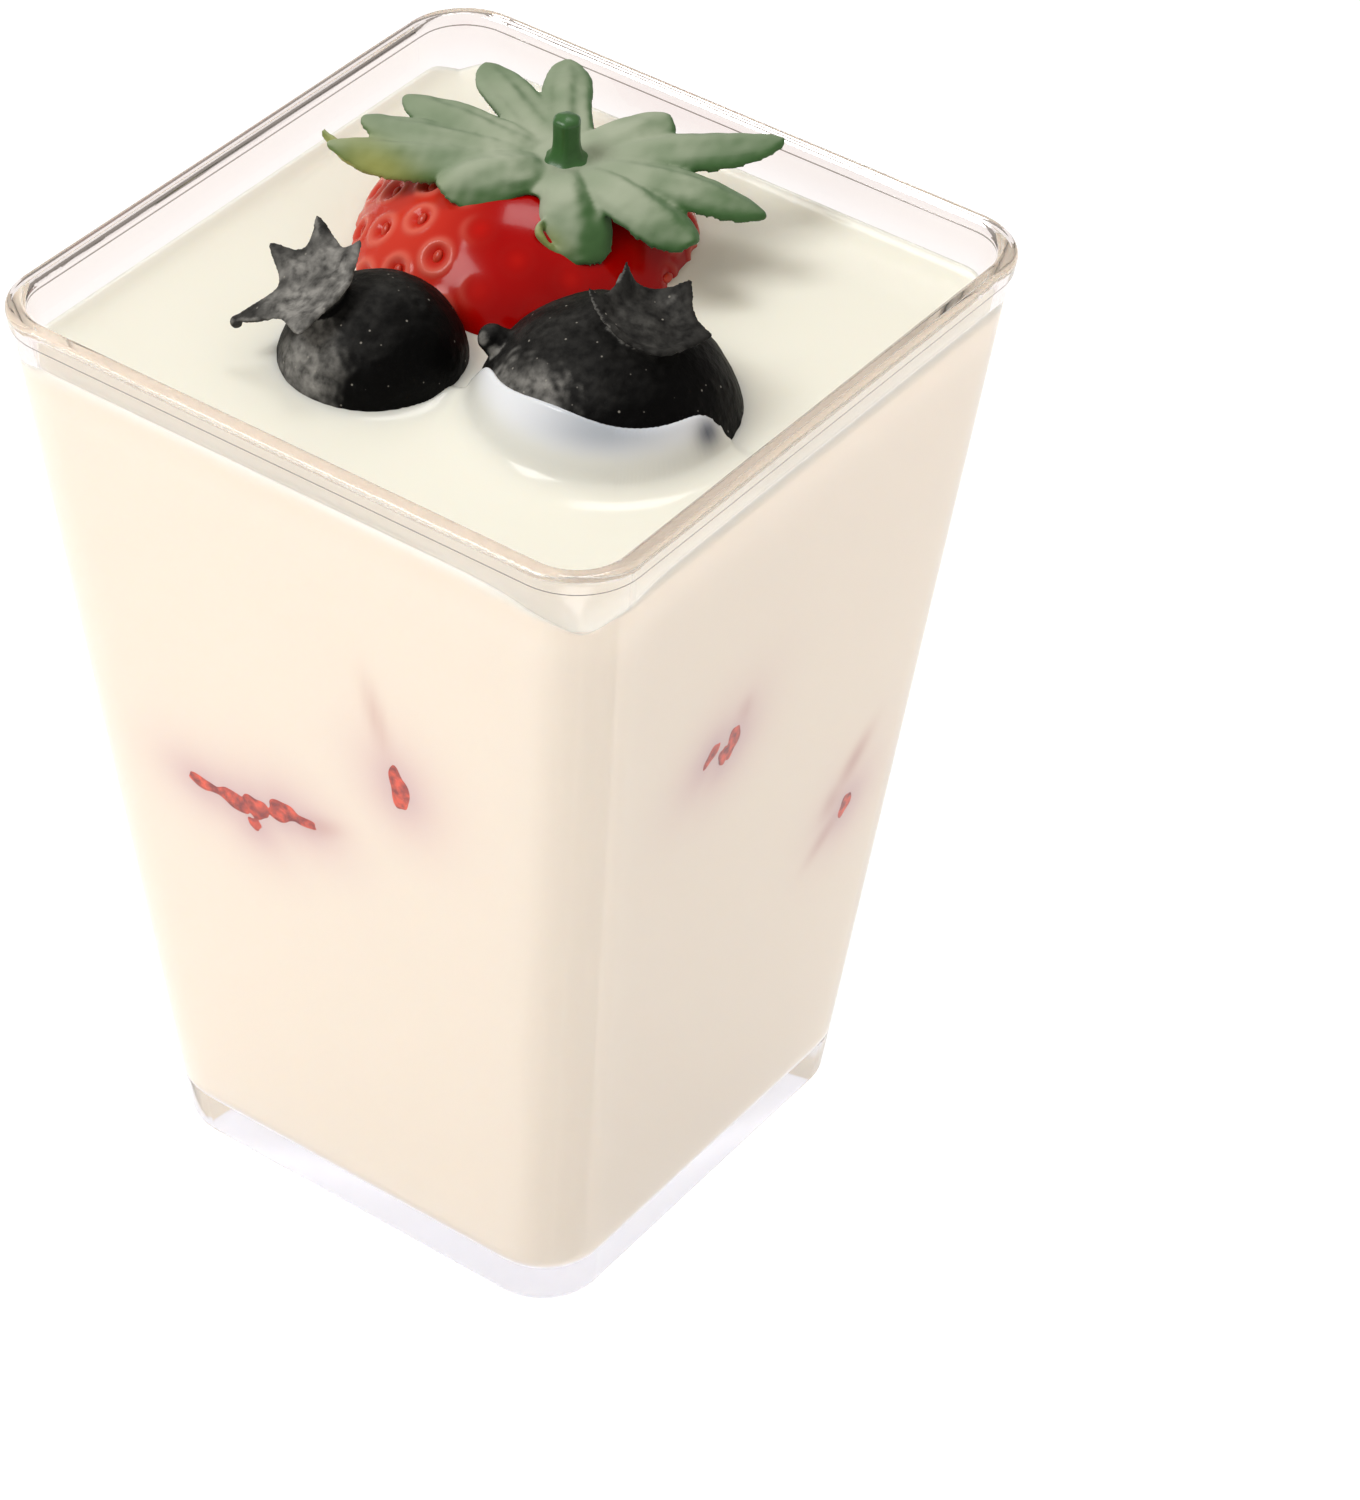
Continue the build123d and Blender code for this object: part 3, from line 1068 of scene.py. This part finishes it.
def build_stem():
    """A short stem, a little waisted, with a foot and a blunt rounded end."""
    around, rows = 40, 26
    points = []
    for row in range(rows + 1):
        t = row / rows
        foot = 0.9 * math.exp(-t * 9)
        end = math.sqrt(max(0.0, 1 - max(0.0, (t - 0.86) / 0.14) ** 2.4))
        for k in range(around):
            turn = 2 * math.pi * k / around
            facet = 1 + 0.035 * math.cos(6 * turn)
            reach = (stem_radius + foot - 0.05 * math.sin(math.pi * t)) * max(end, 0.05) * facet
            points.append((reach * math.cos(turn), reach * math.sin(turn), stem_foot + stem_length * t))
    points, faces = capped(points, around)
    return new_mesh("leaf_cap_stem", np.array(points) + cap_heart, faces)


def green_stem():
    """Gives the darker, wetter green of the fresh stem."""
    material, tree, output = new_material("fresh_green_stem")
    place = add(tree, "ShaderNodeTexCoord").outputs["Object"]
    mottle = add(tree, "ShaderNodeTexNoise", {"Vector": place, "Scale": 1 / (1.5 * mm), "Detail": 3.0})
    green = add(tree, "ShaderNodeMix", {
        0: mottle.outputs["Fac"],
        6: linear("#234a22"),
        7: linear("#3f6f36"),
    }, data_type="RGBA").outputs[2]
    surface = add(tree, "ShaderNodeBsdfPrincipled", {"Base Color": green, "Roughness": 0.35})
    tree.links.new(surface.outputs[0], output.inputs["Surface"])
    return material


stem_mesh = build_stem()
stem_mesh.materials.append(green_stem())
stem_piece = new_object("leaf_cap_stem", stem_mesh)
print("stem has", len(stem_mesh.polygons), "faces")
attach(stem_piece, "root")
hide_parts("leaf_cap")


# %% [markdown]
# The dark berries are matte black with a grey bloom, and each wears the dried crown of its flower:
# a shallow star-shaped dish with pointed, curled lobes. The berry is an oval of revolution, the
# crown is one star-shaped shell whose rim is pulled out into its lobes, and a short neck joins
# them. They are fused, and then the whole skin is given a leathery unevenness.

# %% A berry and its crown
def oval_shell(radius, half_height, around=72, rows=40):
    """A closed oval round the origin."""
    polars = [math.pi * (row + 0.02) / (rows + 0.04) for row in range(rows + 1)]
    profile = [(radius * math.sin(polar), half_height * math.cos(polar)) for polar in polars]
    return capped(turned(profile, around), around, downward=True)


def crown_shell(rim_radius, height, dish, lobes, thickness=0.55):
    """A star-shaped dish: each lobe is (direction, length, half spread in degrees, rise)."""
    around, rows = 180, 22
    points = []
    for side in (1, -1):
        for row in range(rows + 1):
            share = row / rows if side > 0 else 1 - row / rows
            for k in range(around):
                turn = 360 * k / around
                reach, lift = rim_radius, 0.0
                for direction, length, spread, rise in lobes:
                    off = abs((turn - direction + 180) % 360 - 180) / spread
                    peak = math.exp(-(off ** 1.35))
                    reach += (length - rim_radius) * peak
                    lift += rise * peak
                radial = max(share, 0.02) * reach
                inner = min(radial / rim_radius, 1.0)
                beyond = max(0.0, radial - rim_radius * 0.6) / rim_radius
                z = height - dish * (1 - inner ** 2) + lift * beyond ** 1.4
                edge = 1 - 0.5 * share ** 4
                z += side * thickness / 2 * edge
                angle = math.radians(turn)
                points.append((radial * math.cos(angle), radial * math.sin(angle), z))
    return capped(points, around)


def neck_shell(radius, low, high, waist):
    """A short neck under a crown, wider at its foot and narrower in its middle."""
    around, rows = 60, 12
    profile = []
    for t in [row / rows for row in range(rows + 1)]:
        reach = radius * (1 - waist * math.sin(math.pi * t)) * (1.12 - 0.12 * t)
        profile.append((reach, low + (high - low) * t))
    return capped(turned(profile, around), around)


def stood(shell, axis, side, shift=(0, 0, 0)):
    """A shell turned so that +Z lies along axis and +X towards side."""
    up = unit(axis)
    forward = unit(np.asarray(side, float) - np.dot(side, up) * up)
    turn = np.column_stack([forward, np.cross(up, forward), up])
    points, faces = shell
    return np.asarray(points) @ turn.T + np.asarray(shift, float), faces


def ball(middle, radius):
    """A small closed ball."""
    points, faces = oval_shell(radius, radius, 24, 14)
    return np.asarray(points) + np.asarray(middle, float), faces


def berry_mesh(name, shells, middle, seed):
    """Fuses a berry's shells, gives the skin its leathery unevenness and sets it in its place."""
    mesh = fused(name, shells, soft_voxel, 3)
    points = points_of(mesh)
    push = 0.08 * uneven(points, 2.2, seed) + 0.04 * uneven(points, 0.7, seed + 3)
    points = points + normals_of(mesh) * push[:, None]
    mesh.vertices.foreach_set("co", ((points + middle) * mm).astype(np.float32).ravel())
    mesh.update()
    print(name, "has", len(mesh.polygons), "faces")
    return mesh


# %% The left berry
# Each lobe of a crown: direction, length, half spread in degrees, rise.
left_lobes = (
    (14, 4.6, 17, 0.5),
    (62, 5.9, 17, 1.1),
    (102, 6.1, 16, 0.9),
    (160, 6.9, 17, 0.1),
    (232, 4.6, 24, -0.3),
)
left_axis = (-0.36, -0.34, 0.87)
left_side = (0.50, 0.76, 0.41)
left_crown_height = 8.0
left_shells = [
    stood(oval_shell(left_radius, 6.7), left_axis, left_side),
    stood(neck_shell(2.2, 4.5, left_crown_height - 0.1, 0.15), left_axis, left_side),
    stood(crown_shell(3.0, left_crown_height, 0.8, left_lobes), left_axis, left_side),
]
# The longest lobe ends in a small knob.
knob_turn = math.radians(160)
knob_reach = 6.75
knob_place = (knob_reach * math.cos(knob_turn), knob_reach * math.sin(knob_turn), left_crown_height)
left_shells.append(stood(ball(knob_place, 0.5), left_axis, left_side))
left_mesh = berry_mesh("left_berry_fruit", left_shells, left_middle, 4)
print("left berry is fused from", len(left_shells), "shells")

# %% The right berry
right_lobes = (
    (6, 4.7, 20, 0.6),
    (66, 4.5, 22, 2.6),
    (134, 4.3, 15, 3.2),
    (186, 4.7, 15, 1.4),
    (236, 4.0, 18, 1.6),
    (300, 3.9, 30, 0.3),
)
right_axis = (0.24, 0.10, 0.96)
right_side = (0.89, 0.37, -0.26)
right_crown_height = 10.2
nub_middle = unit((-0.64, -0.27, 0.50)) * 10.7
right_shells = [
    stood(oval_shell(right_radius, 9.9), right_axis, right_side),
    stood(neck_shell(2.5, 8.2, right_crown_height - 0.1, 0.16), right_axis, right_side),
    stood(crown_shell(3.3, right_crown_height, 0.95, right_lobes), right_axis, right_side),
    ball(nub_middle, 1.1),
    ball(nub_middle * 0.93, 1.25),
]
right_mesh = berry_mesh("right_berry_fruit", right_shells, right_middle, 5)
print("right berry is fused from", len(right_shells), "shells")


# %% [markdown]
# The skin is nearly black and takes almost no shine. What the eye sees is the bloom: a thin grey
# dust that stays on what faces up and is rubbed off in patches, and a few pale specks. The same grey
# is also painted, most on what faces the key lamp, as the sheen of the light on the bloom.

# %% Dark berry skin
def dark_berry_skin():
    """Gives matte black under an uneven grey of bloom and painted sheen, with pale specks."""
    material, tree, output = new_material("dark_berry_skin")
    place = add(tree, "ShaderNodeTexCoord").outputs["Object"]
    rubbed = add(tree, "ShaderNodeTexNoise", {"Vector": place, "Scale": 1 / (0.8 * mm), "Detail": 6.0})
    patch = add(tree, "ShaderNodeMapRange", {
        "Value": rubbed.outputs["Fac"],
        "From Min": 0.3,
        "From Max": 0.7,
        "To Min": 0.2,
    })
    # The bloom share is grey bloom with painted sheen where the skin faces the key lamp.
    bloom_and_sheen = add(tree, "ShaderNodeAttribute", attribute_name="bloom_and_sheen").outputs["Fac"]
    shown = add(tree, "ShaderNodeMath", {0: patch.outputs[0], 1: bloom_and_sheen}, operation="MULTIPLY")
    skin = add(tree, "ShaderNodeMix", {
        0: shown.outputs[0],
        6: linear("#030303"),
        7: linear("#8a8985"),
    }, data_type="RGBA").outputs[2]
    dots = add(tree, "ShaderNodeTexVoronoi", {"Vector": place, "Scale": 1 / (1.1 * mm)})
    speck = add(tree, "ShaderNodeMapRange", {
        "Value": dots.outputs["Distance"],
        "From Min": 0.05,
        "From Max": 0.1,
        "To Min": 0.8,
        "To Max": 0.0,
    }).outputs[0]
    colour = add(tree, "ShaderNodeMix", {
        0: speck,
        6: skin,
        7: linear("#8d8a83"),
    }, data_type="RGBA").outputs[2]
    raised = add(tree, "ShaderNodeBump", {
        "Height": rubbed.outputs["Fac"],
        "Strength": 0.5,
        "Distance": 0.3 * mm,
    })
    surface = add(tree, "ShaderNodeBsdfPrincipled", {
        "Base Color": colour,
        "Roughness": 0.55,
        "Specular IOR Level": 0.08,
        "Normal": raised.outputs[0],
    })
    tree.links.new(surface.outputs[0], output.inputs["Surface"])
    return material


def crown_share(points, axis, height):
    """1 on the upper face of a berry's crown and 0 below it, uneven like dry dust."""
    along = points @ unit(axis)
    reach = np.linalg.norm(points - along[:, None] * unit(axis), axis=1)
    dust = 0.75 + 0.6 * uneven(points, 1.5, 21)
    return soft_step(height - 1.1, height - 0.3, along) * dust * (1 - 0.75 * soft_step(2.6, 5.4, reach))


berry_skin = dark_berry_skin()
left_crown = crown_share(points_of(left_mesh) - left_middle, left_axis, left_crown_height) * 1.35
right_crown = crown_share(points_of(right_mesh) - right_middle, right_axis, right_crown_height) * 0.25
for berry_name, mesh, node, seed, crown_bloom in (
    ("left_berry_fruit", left_mesh, "left_berry", 8, left_crown),
    ("right_berry_fruit", right_mesh, "right_berry", 9, right_crown),
):
    # The side share is a painted sheen of grey on what faces the key lamp from the front, patchy like rubbed
    # bloom; the top share is faint bloom on what faces up.
    side_bloom_and_sheen = 1.05 * dust_and_sheen_share(mesh, (-0.22, -0.86, 0.4), 0.8, seed)
    top_bloom = 0.12 * dust_and_sheen_share(mesh, (-0.3, -0.2, 0.9), 0.5, seed + 4)
    set_values(mesh, "bloom_and_sheen", np.maximum.reduce([side_bloom_and_sheen, top_bloom, crown_bloom]))
    mesh.materials.append(berry_skin)
    berry_piece = new_object(berry_name, mesh)
    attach(berry_piece, "root")
    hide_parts(node)
    print(berry_name, "carries bloom up to", round(float(crown_bloom.max()), 2), "on its crown")


# %% [markdown]
# The dessert stands on a plain white table in soft studio light. The table glows a little, as a
# sweep lit from below does, so that the clear base stays clear. A wide warm white surround gives
# the even fill that white plastic and cream need, and it is dimmer to what is mirrored, as lamps
# behind flags are, so that wet red and black skins keep their depth. One large lamp from the front
# left makes the left face lighter than the right one, and a smaller one from above and behind draws
# the shine along the wet tops.

# %% The table
def soft_table_white():
    """Gives a plain glowing table that takes almost no shadow."""
    material, tree, output = new_material("matte_white_table")
    place = add(tree, "ShaderNodeTexCoord").outputs["Object"]
    cloud = add(tree, "ShaderNodeTexNoise", {"Vector": place, "Scale": 1 / (333 * mm)})
    white = add(tree, "ShaderNodeMix", {
        0: cloud.outputs["Fac"],
        6: linear("#8a8a8a"),
        7: linear("#8e8e8e"),
    }, data_type="RGBA").outputs[2]
    rays = add(tree, "ShaderNodeLightPath")
    glow = add(tree, "ShaderNodeMapRange", {
        "Value": rays.outputs["Is Glossy Ray"],
        "To Min": 0.95,
        "To Max": 0.86,
    })
    surface = add(tree, "ShaderNodeBsdfPrincipled", {
        "Base Color": white,
        "Roughness": 0.8,
        "Specular IOR Level": 0.1,
        "Emission Color": linear("#ffffff"),
        "Emission Strength": glow.outputs[0],
    })
    tree.links.new(surface.outputs[0], output.inputs["Surface"])
    return material


table_half = 2000
table_corners = [(x * table_half, y * table_half, 0) for x, y in ((-1, -1), (1, -1), (1, 1), (-1, 1))]
table = new_object("table", new_mesh("table", table_corners, [(0, 1, 2, 3)]))
table.location.z = -0.02 * mm
table.data.materials.append(soft_table_white())
print("table is", 2 * table_half, "mm wide")


# %% The lamps and the surround
def soft_lamp(name, place, target, size, power):
    """A large square lamp at a place, turned to its target."""
    data = bpy.data.lights.new(name, "AREA")
    data.size = size
    data.energy = power
    lamp = bpy.data.objects.new(name, data)
    bpy.context.scene.collection.objects.link(lamp)
    lamp.location = place
    lamp.rotation_euler = (Vector(target) - Vector(place)).to_track_quat("-Z", "Y").to_euler()
    return lamp


dish_middle = (0.0, 0.0, 0.05)
soft_lamp("key", (-0.50, -0.65, 1.15), dish_middle, 0.55, 9.0)
soft_lamp("top", (-0.25, 0.45, 1.1), dish_middle, 0.3, 2.0)


def white_surround():
    """A warm white room, dimmer to what is mirrored in wet and waxy skins."""
    world = bpy.data.worlds.new("white_surround")
    world.use_nodes = True
    tree = world.node_tree
    tree.nodes.clear()
    rays = add(tree, "ShaderNodeLightPath")
    strength = add(tree, "ShaderNodeMapRange", {
        "Value": rays.outputs["Is Glossy Ray"],
        "To Min": 0.66,
        "To Max": 0.38,
    }).outputs[0]
    background = add(tree, "ShaderNodeBackground", {"Color": linear("#fff7ee"), "Strength": strength})
    output = add(tree, "ShaderNodeOutputWorld")
    tree.links.new(background.outputs[0], output.inputs[0])
    return world


bpy.context.scene.world = white_surround()
bpy.context.scene.view_settings.view_transform = "Standard"


# %% [markdown]
# The camera looks at the cup from the front right and well above, far enough away that the upright
# edges draw together only a little. It is placed by its direction, height and distance from the
# point it looks at, so each can be changed alone.

# %% Camera
aim = Vector((10.74, 7.53, 35.5)) * mm
azimuth = math.radians(35.02)
elevation = math.radians(39.29)
roll = math.radians(2.06)
distance = 412.5 * mm
back = Vector((
    math.sin(azimuth) * math.cos(elevation),
    -math.cos(azimuth) * math.cos(elevation),
    math.sin(elevation),
))
camera_data = bpy.data.cameras.new("camera")
camera_data.sensor_width = 36.0
camera_data.lens = 126.45
camera = bpy.data.objects.new("camera", camera_data)
bpy.context.scene.collection.objects.link(camera)
camera.location = aim + back * distance
camera.rotation_mode = "QUATERNION"
camera.rotation_quaternion = (-back).to_track_quat("-Z", "Y") @ Quaternion((0, 0, 1), roll)
bpy.context.scene.camera = camera
print("camera stands", round(camera.location.length / mm), "mm from the cup's foot")
